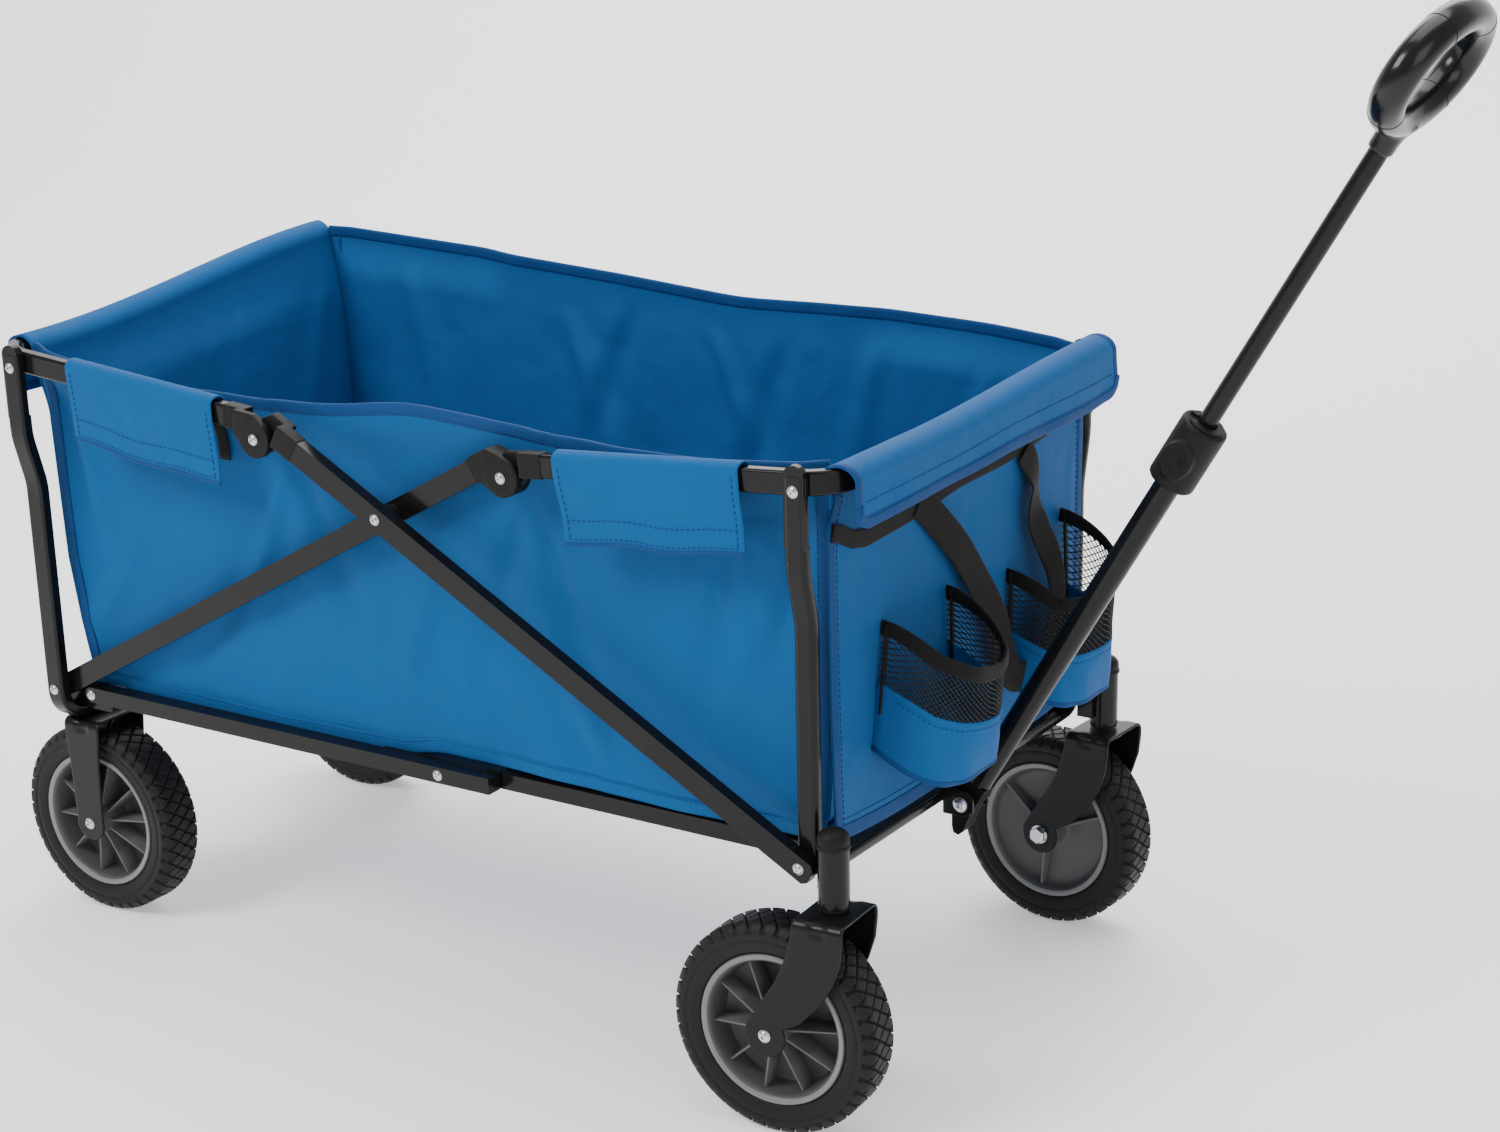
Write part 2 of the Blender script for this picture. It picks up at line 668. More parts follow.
# ------------------------------------------------------------------ rear wall and end flaps
REAR_FOLDS = [((-195, 545), (-120, 330), 14, 3.6), ((195, 580), (110, 350), 15, 4.0),
              ((-60, 300), (30, 500), 18, -3.2), ((190, 300), (120, 420), 14, -3.0),
              ((-190, 290), (-100, 400), 14, 3.0), ((60, 560), (20, 400), 14, 3.0)]
REAR_FOOT_Z = 252.0
REAR_ROLL = 17.4                         # radius of the wall cloth's turn over the rail


def rear_rise(y):
    """How far the cloth's top edge stands above its right end."""
    return 36.0 * smoothstep((y + 207.0) / 414.0 * 0.96) ** 1.15


def rear_wall_x(y, z):
    top = 556.0 + rear_rise(y)
    v = (z - REAR_FOOT_Z) / (top - REAR_FOOT_Z)
    middle = np.sin(math.pi * np.clip((y + 209.0) / 418.0, 0, 1))
    bulge = 8.0 * middle * np.sin(math.pi * np.clip(v, 0, 1)) ** 0.8
    bulge = bulge + waves(y, z, 31, scale=220.0, height=2.6) * middle * np.clip(1.25 - v, 0, 1)
    bulge = bulge + creases(REAR_FOLDS, y, z) * np.clip(middle * 3, 0, 1)
    share = smoothstep((z - (top - 60.0)) / 60.0)
    slack = lookup(REAR_EDGE, np.minimum(z, 545.0)) + 1.4 + 0.6 * bulge
    return slack * (1 - share) - 431.1 * share


def rear_wall(u, v):
    """Rear wall, from the floor up and over the inner half of the roll on the rear rail."""
    y = -209.6 + 419.2 * u
    rail = RAIL_Z + rear_rise(y)
    z = REAR_FOOT_Z + (rail - REAR_FOOT_Z) * np.clip(v / 0.93, 0, 1)
    angle = np.clip((v - 0.93) / 0.07, 0, 1) * math.radians(84)
    on_roll = v > 0.93
    x = np.where(on_roll, REAR_RAIL_X + REAR_ROLL * np.cos(angle), rear_wall_x(y, z))
    z = np.where(on_roll, rail + REAR_ROLL * 0.80 * np.sin(angle) + 0.25, z)
    return np.stack([x, y, z], -1)


place(sheet("rear_wall_cloth", rear_wall, 100, 130, 1.6, CANVAS), "rear_frame", "canvas",
      "basket_rear_panel")


def over_rail(sign, y0, y1, rail_x, hang, rise, seed, roll, inner):
    """Cloth that comes up inside (length inner), turns over a cross rail and hangs outside."""
    def surface(u, v):
        y = y0 + (y1 - y0) * u
        turn = math.pi * roll
        run = v * (inner + turn + hang(u))
        angle = np.clip((run - inner) / roll, 0, math.pi)
        below_in = np.clip(inner - run, 0, None)
        below_out = np.clip(run - inner - turn, 0, None)
        x = rail_x - sign * roll * np.cos(angle) + sign * below_out * 0.03
        z = RAIL_Z + rise(y) + roll * 0.80 * np.sin(angle) - below_in - below_out
        wave = waves(y, run, seed, scale=150.0, height=2.0) * smoothstep(below_out / 30.0)
        free = smoothstep(below_out / 40.0)
        x = x + sign * (np.abs(wave) + 1.8 * np.sin(y / 46.0 + seed) ** 2 * free)
        z = z + 1.8 * np.sin(y / 63.0 + seed * 0.7) * free
        return np.stack([x, y, z], -1)
    return surface


def end_flap_trim(name, surface, sign, binding_lift):
    """Binding on the free edge and two rows of thread."""
    out = (sign, 0, 0)
    edge = row(surface, 0.992, 140) + (binding_lift, 0, 0)
    yield strip(name + "_binding", edge, out, 9.0, 3.2, BINDING)
    for level, v in (("low", 0.93), ("high", 0.80)):
        line = row(surface, v, 140)[3:-3] + (sign * 1.25, 0, 0)
        yield stitches(f"{name}_thread_{level}", line, out)


def place_flap(piece, body, anchor, keep, *nodes):
    """Rides a rail and is squashed in height when the cart folds."""
    place(piece, body, "canvas", *nodes)
    tuple(metres(anchor))
    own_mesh(piece)


FRONT_HANG = [(0, 34.0), (0.37, 32.0), (0.54, 30.0), (0.73, 34.0), (0.89, 38.0), (1, 38.0)]
front_roll = over_rail(sign=1, y0=-226.0, y1=219.0, rail_x=FRONT_RAIL_X,
                       hang=lambda u: lookup(FRONT_HANG, u),
                       rise=lambda y: 13.5 * smoothstep((y + 110.0) / 345.0),
                       seed=5, roll=16.2, inner=5.0)


def front_flap(u, v):
    """Front roll with its lower corners rounded."""
    points = front_roll(u, v)
    corner = np.clip(1 - np.minimum(u, 1 - u) * 450.0 / 16.0, 0, 1)
    low = smoothstep((v - 0.78) / 0.22)
    points[..., 2] += low * (1 - np.sqrt(np.clip(1 - corner ** 2, 0, 1))) * 15.0
    return points


front_flap_place = ("front_rail", (FRONT_RAIL_X, 0, 557.0), 0.42)
place_flap(sheet("front_flap_cloth", front_flap, 150, 70, 2.0, CANVAS), *front_flap_place,
           "front_top_flap")
for piece in end_flap_trim("front_flap", front_flap, 1, binding_lift=0.2):
    place_flap(piece, *front_flap_place)
for label, u in (("right", 0.006), ("left", 0.994)):
    edge = column(front_flap, u, 40, 0.10, 0.97)
    piece = strip("front_flap_edge_" + label, edge, (1, 0, 0.3), 8.0, 3.0, BINDING)
    place_flap(piece, *front_flap_place)

# hook tape under the front flap's edge
TAPE_LINE = [(-216, 511), (-204, 507), (-184, 497), (-164, 493.5), (-89, 498), (-11, 504),
             (71, 507), (150, 513)]      # y, z
tape_y = np.linspace(-216.0, 145.0, 90)
tape_z = lookup(TAPE_LINE, tape_y) + 0.9 * np.sin(np.linspace(0.012, 0.80, 90) * 17)
tape_path = np.stack([np.full(90, 436.1), tape_y, tape_z], -1)
place(strip("hook_tape_front", tape_path, (1, 0, 0), 15.0, 1.6, WEBBING), "front_frame",
      "webbing")

rear_flap = over_rail(sign=-1, y0=-209.4, y1=209.4, rail_x=REAR_RAIL_X, hang=lambda u: 42.0,
                      rise=rear_rise, seed=9, roll=15.9, inner=0.6)
rear_flap_place = ("rear_rail", (REAR_RAIL_X, 0, 553.0), 0.42)
place_flap(sheet("rear_flap_cloth", rear_flap, 130, 90, 1.6, CANVAS), *rear_flap_place,
           "rear_top_sleeve")
for piece in end_flap_trim("rear_flap", rear_flap, -1, binding_lift=0.0):
    place_flap(piece, *rear_flap_place)

# ------------------------------------------------------------------ front wall
FRONT_FOLDS = [((-200, 505), (-150, 300), 13, 2.6), ((-215, 290), (-120, 420), 12, -2.2),
               ((200, 500), (190, 300), 13, 2.2), ((10, 500), (-10, 300), 14, -1.8)]


def front_wall(u, v):
    foot = 240.0 + 8.0 * np.abs(2 * u - 1) ** 3
    z = foot + (549.0 - foot) * v
    # narrower at the foot and under the rail
    y = (-219.0 + 438.0 * u) * (1 - 0.035 * (1 - v) ** 2)
    y = y * (1 - 0.062 * smoothstep((z - 512.0) / 22.0))
    middle = np.sin(math.pi * u)
    bulge = 3.0 * middle * np.sin(math.pi * v)
    bulge = bulge + waves(y, z, 41, scale=190.0, height=1.6) * middle
    bulge = bulge + creases(FRONT_FOLDS, y, z)
    share = smoothstep((z - 505.0) / 28.0)
    x = (433.4 + np.clip(0.45 * bulge, -1.0, 2.6)) * (1 - share) + 431.2 * share
    return np.stack([x, y, z], -1)


def build_front_wall():
    forward, on_cloth, on_hem = (1, 0, 0), (0.8, 0, 0), (1.3, 0, 0)

    def put(piece, *nodes):
        place(piece, "front_frame", "canvas", *nodes)

    put(sheet("front_wall_cloth", front_wall, 100, 66, 1.8, CANVAS), "basket_front_panel")
    hem = row(front_wall, 0.02, 110) + on_cloth
    put(strip("front_foot_hem", hem, forward, 13.0, 2.0, BINDING))
    put(stitches("front_foot_thread", row(front_wall, 0.058, 110) + on_hem, forward))
    for label, u, step in (("right", 0.010, 0.017), ("left", 0.990, -0.017)):
        seam = column(front_wall, u, 50, 0.02, 0.98) + on_cloth
        put(strip("front_corner_seam_" + label, seam, forward, 10.0, 2.0, BINDING))
        thread = column(front_wall, u + step, 50, 0.02, 0.98) + on_hem
        put(stitches("front_corner_thread_" + label, thread, forward))


build_front_wall()


# ------------------------------------------------------------------ side flaps on the rail legs
def rail_leg_z(x):
    return 534.5 + (557.0 - 534.5) / (448.5 - 168.0) * (np.abs(x) - 168.0)


def side_flap(side, x0, x1, seed):
    inner, roll, leg_y = 4.0, 8.6, 234.0
    rear = x0 < 0

    def surface(u, v):
        turn = math.pi * roll
        hang = 65.0 + 5.0 * (u if rear else 1 - u)
        skew = smoothstep((v - 0.25) / 0.75) * (7.0 if rear else 13.0 - 6.0 * u)
        x = x0 + (x1 - x0) * u + skew
        run = v * (inner + turn + hang)
        angle = np.clip((run - inner) / roll, 0, math.pi)
        below_in = np.clip(inner - run, 0, None)
        below_out = np.clip(run - inner - turn, 0, None)
        w = leg_y - (roll + 0.4) * np.cos(angle)
        z = rail_leg_z(x) + 7.2 + roll * 0.72 * np.sin(angle) - below_in - below_out
        wave = np.abs(waves(x, run, seed, scale=90.0, height=1.5))
        w = w + wave * smoothstep(below_out / 25.0) + 0.02 * below_out
        w = w + 1.2 * np.sin(math.pi * u) * smoothstep(below_out / 40.0)
        ripple = 1.8 * np.sin(x / 31.0 + seed) + 0.9 * np.sin(x / 13.0 + seed)
        z = z + ripple * smoothstep(below_out / 45.0)
        return np.stack([x, side * w, z], -1)
    return surface


def side_flap_trim(label, side, surface):
    """Threads along the foot and both ends, and the edge binding."""
    out = np.array((0, side, 0.0))
    for level, v in (("low", 0.955), ("high", 0.80)):
        line = row(surface, v, 70, 0.02, 0.98) + out * 1.3
        yield stitches(f"flap_thread_{level}_{label}", line, out)
    for end, u in (("a", 0.03), ("b", 0.97)):
        line = column(surface, u, 30, 0.36, 0.95) + out * 1.3
        yield stitches(f"flap_thread_{end}_{label}", line, out)
    yield strip("flap_edge_" + label, row(surface, 0.993, 60), out, 4.0, 2.8, BINDING)


for end, x0, x1, seed in (("rear", -357.0, -184.0, 51), ("front", 186.0, 366.0, 57)):
    middle_x = (x0 + x1) / 2
    flap_place = (end + "_rail", (middle_x, 0, float(rail_leg_z(middle_x))), 0.5)
    for side, side_name in reversed(SIDES):
        surface = side_flap(side, x0, x1, seed)
        label = f"{end}_{side_name}"
        place_flap(sheet("side_flap_" + label, surface, 80, 50, 2.0, CANVAS), *flap_place,
                   *([end + "_side_flaps"] if side < 0 else []))
        for piece in side_flap_trim(label, side, surface):
            place_flap(piece, *flap_place)


# ------------------------------------------------------------------ floor
def floor_piece(name, x0, x1, y0, y1, seed, nu, nv, body, *nodes):
    """Floor cloth with shallow dips every 205 mm across its length."""
    def surface(u, v):
        x = x0 + (x1 - x0) * u
        y = y0 + (y1 - y0) * v
        dips = np.exp(-((np.mod(x + 500, 205) - 100) / 9.0) ** 2)
        return np.stack([x, y, 252.2 + waves(x, y, seed, scale=170.0, height=1.0) - dips], -1)
    place(sheet(name, surface, nu, nv, 2.0, CANVAS), body, "canvas", *nodes)


REAR_SEED, FRONT_SEED = 61, 67
FLOOR_HALF, STRIP_START, PANEL_HALF = 206.0, 192.4, 192.0
floor_piece("floor_cloth_rear", -386.0, 33.0, -PANEL_HALF, PANEL_HALF, REAR_SEED, 110, 60,
            "rear_bars", "floor_fold_cloth")
for side, label in reversed(SIDES):
    span = (side * STRIP_START, side * FLOOR_HALF)
    floor_piece("floor_edge_rear_" + label, -386.0, -46.0, *span, REAR_SEED, 80, 6, "rear_bars")
    floor_piece("floor_edge_front_" + label, -45.4, 33.4, *span, FRONT_SEED, 20, 6,
                "front_bars")
floor_piece("floor_cloth_front", 33.6, 409.0, -FLOOR_HALF, FLOOR_HALF, FRONT_SEED, 100, 60,
            "front_bars")


def floor_pad(node, body):
    """Stiff pad in a sewn cover: rounded rim, and a line pressed across its middle."""
    nx, ny = 60, 40
    low, high = (np.array(corner) * 1000 - (SCISSOR_X, 0, 0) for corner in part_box(node))
    centre, half = (low + high) / 2, (high - low) / 2
    U, V = np.meshgrid(np.linspace(-1, 1, nx + 1), np.linspace(-1, 1, ny + 1), indexing="ij")
    # rows crowd towards the rim
    x, y = (centre[i] + half[i] * np.sign(g) * (1 - (1 - np.abs(g)) ** 1.5)
            for i, g in enumerate((U, V)))
    inset = np.minimum(half[0] - np.abs(x - centre[0]), half[1] - np.abs(y - centre[1]))
    rim = np.sqrt(np.clip(1 - (1 - np.clip(inset / 3.0, 0, 1)) ** 2, 0, 1))
    height = half[2] * rim - 0.9 * np.exp(-((x - centre[0]) / 2.2) ** 2)
    height = np.clip(height, 0.02, None)
    points = np.concatenate([
        np.stack([x, y, centre[2] + sign * height], -1).reshape(-1, 3) for sign in (1, -1)])
    upper, lower, border, count = slab_faces(nx, ny)
    after = np.roll(border, -1)
    wall = np.stack([border, border + count, after + count, after], -1)
    pad = closed_mesh(node + "_cover", points, np.concatenate([upper, lower, wall]),
                      MAT["floor_board"], points[:, :2] * 0.001)
    place(pad, body, "floor_board", node)


floor_pad("rear_floor_board", "rear_bars")
floor_pad("front_floor_board", "front_bars")


# ------------------------------------------------------------------ pockets on the front wall
def pocket_wall(y0, y1, reach, shift, rim_z, foot_z, foot_y):
    """Bag standing out from the wall.

    y0, y1: where the rim leaves the wall; reach: how far it stands out; shift: sideways move
    of the outermost point; rim_z: heights at RIM_STATIONS; foot_z: foot height outside and at
    the wall; foot_y: the foot's sideways move and half width.
    u runs round the rim, v from the foot to the rim.
    """
    def surface(u, v):
        angle = math.pi * u
        cos, sin = -np.cos(angle), np.sin(angle)
        centre = (y0 + y1) / 2
        rim_y = centre + np.sign(cos) * np.abs(cos) ** 0.72 * (y1 - y0) / 2 + shift * sin
        low_y = centre + foot_y[0] + np.sign(cos) * np.abs(cos) ** 0.80 * foot_y[1]
        y = low_y + (rim_y - low_y) * v ** 0.9
        full = np.abs(sin) ** 0.62
        x = 435.2 + full * (reach * (0.90 + 0.10 * v) - 5.0 * (1 - v) ** 3)
        top = np.interp(u, RIM_STATIONS, rim_z)
        low = foot_z[0] + (foot_z[1] - foot_z[0]) * (1 - full) ** 1.1
        z = low + (top - low) * v + 2.2 * np.sin(u * 9 + y0) * v * (1 - v)
        x = x + 1.7 * np.sin(u * 14 + v * 5 + y0) * full
        x = x + 1.2 * np.sin(u * 31 + v * 9) * full * (1 - v)
        return np.stack([x, y, z], -1)
    return surface


RIM_STATIONS = [0, 0.18, 0.36, 0.55, 0.75, 1.0]


def pocket_net(label, surface, split):
    """Net of threads laid in diamonds, from the split to just under the rim."""
    columns, rows = 68, 22
    ids, faces = {}, []
    for i in range(1, columns):
        for j in range(1, rows):
            if (i + j) % 2 == 1:
                corners = ((i - 1, j), (i, j - 1), (i + 1, j), (i, j + 1))
                faces.append(tuple(ids.setdefault(corner, len(ids)) for corner in corners))
    grid = np.array(list(ids), float)
    points = surface(grid[:, 0] / columns, split + (0.985 - split) * (grid[:, 1] / rows))
    net = add_mesh("pocket_net_" + label, metres(points), faces, NET, np.zeros((len(ids), 2)))
    threads = net.modifiers.new("threads", "WIREFRAME")
    threads.thickness = 0.0016
    threads.use_even_offset = False
    threads.use_relative_offset = False
    place(net, "front_frame", "webbing")


def build_pocket(label, split, **shape):
    """Cloth below the split, net above it, with a floor, bindings and thread."""
    surface = pocket_wall(**shape)
    centre = (shape["y0"] + shape["y1"]) / 2
    foot_z, foot_y = shape["foot_z"], shape["foot_y"]

    def lower(u, v):
        return surface(u, v * (split + 0.02))

    def bottom(u, v):
        edge = surface(u, np.zeros_like(u) + 0.02)
        middle = centre + foot_y[0]
        inner = np.stack([np.full_like(u, 436.0), middle + (edge[..., 1] - middle) * 0.25,
                          np.full_like(u, foot_z[0] + 14.0)], -1)
        return inner + (edge - inner) * v[..., None]

    def outward(line):
        return unit((line - (424.0, centre, 0.0)) * (1, 1, 0))

    def band(kind, line, up, wide, thick, material, slot):
        piece = strip(f"pocket_{kind}_{label}", line, up, wide, thick, material)
        place(piece, "front_frame", slot)

    place(sheet("pocket_lower_" + label, lower, 80, 30, 1.6, CANVAS), "front_frame", "canvas",
          *(["cup_pockets"] if label == "right" else []))
    place(sheet("pocket_floor_" + label, bottom, 50, 12, 1.4, CANVAS), "front_frame", "canvas")
    pocket_net(label, surface, split)
    line = row(surface, 1.0, 90)
    band("binding", line + (0, 0, -4.0), outward(line), 13.0, 3.0, WEBBING, "webbing")
    for end, u in (("a", 0.004), ("b", 0.996)):
        edge = column(surface, u, 24, 0.30, 1.0) + (0.5, 0, 0)
        band("edge_" + end, edge, (1, 0, 0), 6.0, 2.2, WEBBING, "webbing")
    line = row(surface, split + 0.012, 90)
    out = outward(line)
    band("hem", line + out * 0.2, out, 5.0, 2.6, CANVAS, "canvas")
    line = row(surface, split - 0.04, 90)[3:-3]
    out = outward(line)
    place(stitches("pocket_thread_" + label, line + out * 0.9, out), "front_frame", "canvas")
    line = row(surface, 0.012, 90)
    band("foot", line, outward(line), 5.0, 2.6, BINDING, "canvas")


build_pocket("right", split=0.50, y0=-140.0, y1=-33.0, reach=76.0, shift=0.0,
             rim_z=(416.0, 392.0, 380.0, 371.0, 380.0, 416.0),
             foot_z=(279.0, 312.0), foot_y=(-6.0, 64.0))
build_pocket("left", split=0.44, y0=74.0, y1=175.0, reach=72.0, shift=4.0,
             rim_z=(401.0, 378.0, 380.0, 388.0, 402.0, 430.0),
             foot_z=(277.0, 300.0), foot_y=(4.0, 58.0))

# ------------------------------------------------------------------ webbing loop
LOOP_STATIONS = [                        # x, y, z along the loop
    (437.5, -82, 504), (441, -56, 480), (445, -26, 450), (447, 0, 415), (449, 20, 389),
    (451, 33, 366), (452, 40, 340), (452, 48, 318), (453, 61, 306), (456, 82, 306),
    (458, 108, 321), (459, 130, 356), (455, 130, 394), (450, 110, 428), (446, 103, 448),
    (443, 116, 476), (438, 100, 504)]
LOOP_TWIST = [(0, 0.05), (0.2, 0.08), (0.40, 0.10), (0.52, 0.20), (0.62, 0.05), (0.78, -0.05),
              (0.86, -0.05), (0.92, 0.35), (0.97, 0.05), (1.0, 0.05)]   # share, radians


def build_carry_loop():
    """Flat strap hanging in a loop on the front wall, with a changing twist."""
    stations = np.asarray(LOOP_STATIONS, float)
    run = np.concatenate([[0], np.cumsum(np.linalg.norm(np.diff(stations, axis=0), axis=1))])
    share = np.linspace(0, 1, 220)
    path = np.stack([np.interp(share, run / run[-1], stations[:, k]) for k in range(3)], -1)
    for _ in range(60):
        path[1:-1] = 0.5 * path[1:-1] + 0.25 * (path[:-2] + path[2:])
    twist = lookup(LOOP_TWIST, share)[:, None]
    tangent = unit(np.gradient(path, axis=0))
    forward = unit(np.array((1.0, 0, 0)) - tangent * tangent[:, :1])
    up = forward * np.cos(twist) + np.cross(tangent, forward) * np.sin(twist)
    piece = strip("carry_loop_webbing", path, up, 29.0, 1.8, WEBBING, sides=16, power=6)
    place(piece, "front_frame", "webbing", "carry_strap")


build_carry_loop()

# ------------------------------------------------------------------ wheels
TYRE_WALL = [                            # radius, distance across; mirrored for the other wall
    (67.2, -19.0), (69.0, -20.2), (71.5, -21.2), (76.0, -22.1), (79.2, -22.5), (79.7, -22.0),
    (80.3, -22.0), (80.8, -22.5), (84.0, -22.6), (85.6, -22.4)]
TREAD_HALF = 22.2
TREAD_KNOBS = 42
TYRE_STEPS = 1008
RIM_PROFILE = [                          # radius, distance towards the outside; closed
    (5.1, 27.0), (12.5, 27.0), (13.6, 26.2), (14.6, 10.0), (16.5, -2.0), (20.0, -4.4),
    (24.0, -5.0), (52.0, -5.0), (56.0, -4.0), (57.8, -1.0), (59.2, 12.0), (60.4, 17.8),
    (62.0, 19.6), (64.0, 20.6), (66.2, 20.9), (67.1, 20.0), (67.1, -20.0), (66.2, -20.9),
    (64.0, -20.6), (62.0, -19.6), (60.4, -17.8), (59.2, -14.0), (58.0, -11.0), (55.0, -9.0),
    (50.0, -8.4), (24.0, -8.4), (20.0, -9.0), (16.5, -11.0), (14.6, -16.0), (13.6, -26.2),
    (12.5, -27.0), (5.1, -27.0)]


def tread_cut(share, phase):
    """Depth cut from the tread at a share of its half width; phase counts knobs."""
    edges = [1 - np.abs(((phase + lean * share) % 1.0) - 0.5) * 2 for lean in (1.15, -1.15)]
    groove = 1 - smoothstep((np.minimum(*edges) - 0.07) / 0.09)
    cut = 2.5 * groove - 0.35 * (1 - groove)
    if abs(share) > 0.86:                # shoulder notches
        lug = np.abs(((phase + 0.5) % 1.0) - 0.5) * 2
        notch = 1 - smoothstep((lug - 0.10) / 0.12)
        cut = cut + 1.6 * smoothstep((abs(share) - 0.86) / 0.08) * notch
    return cut


def tyre(name, hub, turn, body, node):
    """Solid tyre; crossed grooves cut the crown into diamonds that run over the shoulders."""
    theta = np.linspace(0, 2 * math.pi, TYRE_STEPS, endpoint=False)
    phase = theta * TREAD_KNOBS / (2 * math.pi)
    rings = [(r, w, 0.0) for r, w in TYRE_WALL]
    for i in range(47):
        s = -1 + 2 * i / 46
        w = float(np.sign(s) * TREAD_HALF * (1 - (1 - abs(s)) ** 1.22))
        shoulder = max(0.0, (abs(w) / TREAD_HALF - 0.60) / 0.40)
        rings.append((93.9 - 7.0 * shoulder ** 2.2, w, tread_cut(w / TREAD_HALF, phase)))
    rings += [(r, -w, 0.0) for r, w in reversed(TYRE_WALL)]
    points = []
    for radius, w, cut in rings:
        radius = radius - cut
        points.append(np.stack([radius * np.cos(theta), np.full(TYRE_STEPS, w),
                                radius * np.sin(theta)], -1))
    points = turned(np.concatenate(points), turn) + hub
    faces = loft_faces(len(rings), TYRE_STEPS, closed=True)
    obj = closed_mesh(name, points, faces, MAT["tyre"], metres(points)[:, :2])
    place(obj, body, "tyre", node)


def wheel_rib(angle, top, base, width, facing):
    """Moulded rib on the dished web; top and width change from hub to barrel."""
    inner, outer = 13.4, 59.0
    radial = np.array((math.cos(angle), 0, math.sin(angle)))
    around = np.array((-math.sin(angle), 0, math.cos(angle)))
    points = []
    for radius in np.linspace(inner, outer, 10):
        share = (radius - inner) / (outer - inner)
        crest = top[0] + (top[1] - top[0]) * share ** 0.9
        half = (width[0] + (width[1] - width[0]) * share) / 2
        shoulder = crest - 0.5 * facing
        for k, height in ((1.25, base), (1, shoulder), (0.6, crest),
                          (-0.6, crest), (-1, shoulder), (-1.25, base)):
            points.append(radial * radius + around * half * k + np.array((0, height, 0)))
    return points, loft_faces(10, 6)


def wheel_rim(name, hub, turn, body, node, side):
    """Flanged barrel: a deep dish with ten thin ribs outside, a shallow one with three inside."""
    parts = [lathe(RIM_PROFILE, 120, closed=True)]
    for i in range(10):
        parts.append(wheel_rib(2 * math.pi * i / 10 + 0.11, top=(18.5, 12.5), base=-5.5,
                               width=(2.3, 1.7), facing=1))
    for i in range(3):
        parts.append(wheel_rib(2 * math.pi * i / 3 + 0.4, top=(-21.0, -15.5), base=-8.0,
                               width=(3.0, 2.4), facing=-1))
    points, faces = merge(parts)
    points = np.array(points) * (1, side, 1)
    obj = closed_mesh(name, turned(points, turn) + hub, faces, MAT["rim_plastic"],
                      points[:, [0, 2]] * 0.001, sharp=38)
    # the rolled lips have their own lighter material
    obj.data.materials.append(RIM_EDGE)
    radius = np.hypot(points[:, 0], points[:, 2])
    for face in obj.data.polygons:
        around = radius[list(face.vertices)]
        face.material_index = int(around.min() > 61.9 and around.max() < 66.3)
    place(obj, body, "rim_plastic", node)


def wheel_hub(label):
    hub = node_centre(label + "_tyre") - (SCISSOR_X, 0, 0)
    hub[2] = WHEEL_RADIUS
    return hub


for end, toe in (("rear", 0.0), ("front", CASTER_TOE)):
    for side, side_name in SIDES:
        label, body = f"{end}_{side_name}", f"{end}_wheel_{side_name}"
        hub = wheel_hub(label)
        tyre(label + "_tread", hub, -side * toe, body, label + "_tyre")
        wheel_rim(label + "_centre", hub, -side * toe, body, label + "_rim", side)


# ------------------------------------------------------------------ rivets, bolts and caps
def dome(radius, rise, socket, depth, base):
    """Profile of a washer and domed head with a sunk socket, from height base outwards."""
    seat = base + 0.75
    profile = [(radius * 1.12, base), (radius * 1.12, base + 0.55), (radius, seat)]
    for i in range(9):
        angle = math.radians(8 + 64 * i / 8)
        profile.append((radius * math.cos(angle), seat + rise * math.sin(angle)))
    return profile + [(socket + 0.35, seat + rise * 0.97), (socket, seat + rise * 0.90),
                      (socket * 0.9, seat + rise - depth), (0.35, seat + rise - depth - 0.2)]


def hex_nut(radius, y0, y1, **placing):
    chamfer = (y1 - y0) * 0.15
    profile = [(radius * 0.90, y0), (radius, y0 + chamfer), (radius, y1 - chamfer),
               (radius * 0.90, y1)]
    return lathe(profile, 6, phase=math.pi / 6, **placing)


def rivet(x, z, inner, outer, tail, side):
    """Head at distance outer, shank, and a small tail at distance inner."""
    def part(profile, sides):
        return lathe(profile, sides, centre=(x, 0.0, z), flip=side)
    parts = [part(dome(radius=4.4, rise=2.2, socket=1.7, depth=1.1, base=outer), 28),
             part([(2.98, inner), (2.98, outer)], 20)]
    if tail:
        parts.append(part([(3.9, inner), (4.3, inner - 0.5), (4.0, inner - 1.0),
                           (2.2, inner - 1.25)], 20))
    return parts


# node, body, rivets: x, z, inner and outer distance from the centre plane, tail
RIVETS = [
    ("rear_frame_rivets", "rear_frame", [(-420.5, 235.7, 212.0, 238.0, True),
                                         (-420.5, 550.6, 241.7, 250.0, False),
                                         (-383.0, 233.5, 207.9, 227.5, True)]),
    ("front_frame_rivets", "front_frame", [(420.5, 235.7, 224.0, 249.0, True),
                                           (420.5, 550.6, 241.7, 248.0, False),
                                           (412.0, 233.5, 194.0, 214.8, True)]),
    ("scissor_rivets", "outer_arms", [(0.0, 467.5, 212.0, 249.0, True)]),
    ("rear_knuckle_rivets", "outer_arms", [(-KNUCKLE_X, KNUCKLE_Z, 229.3, 248.6, True)]),
    ("front_knuckle_rivets", "inner_arms", [(KNUCKLE_X, KNUCKLE_Z, 229.3, 242.0, True)]),
    ("bar_centre_bolts", "rear_bars", [(34.0, 233.5, 211.8, 227.5, False)]),
]
for node, body, rivets in RIVETS:
    parts = [part for spec in rivets for side in (1, -1) for part in rivet(*spec, side)]
    # the object is named in the singular: rivets -> rivet_set
    place(solid(node[:-1] + "_set", parts, MAT["rivet_steel"]), body, "rivet_steel", node)


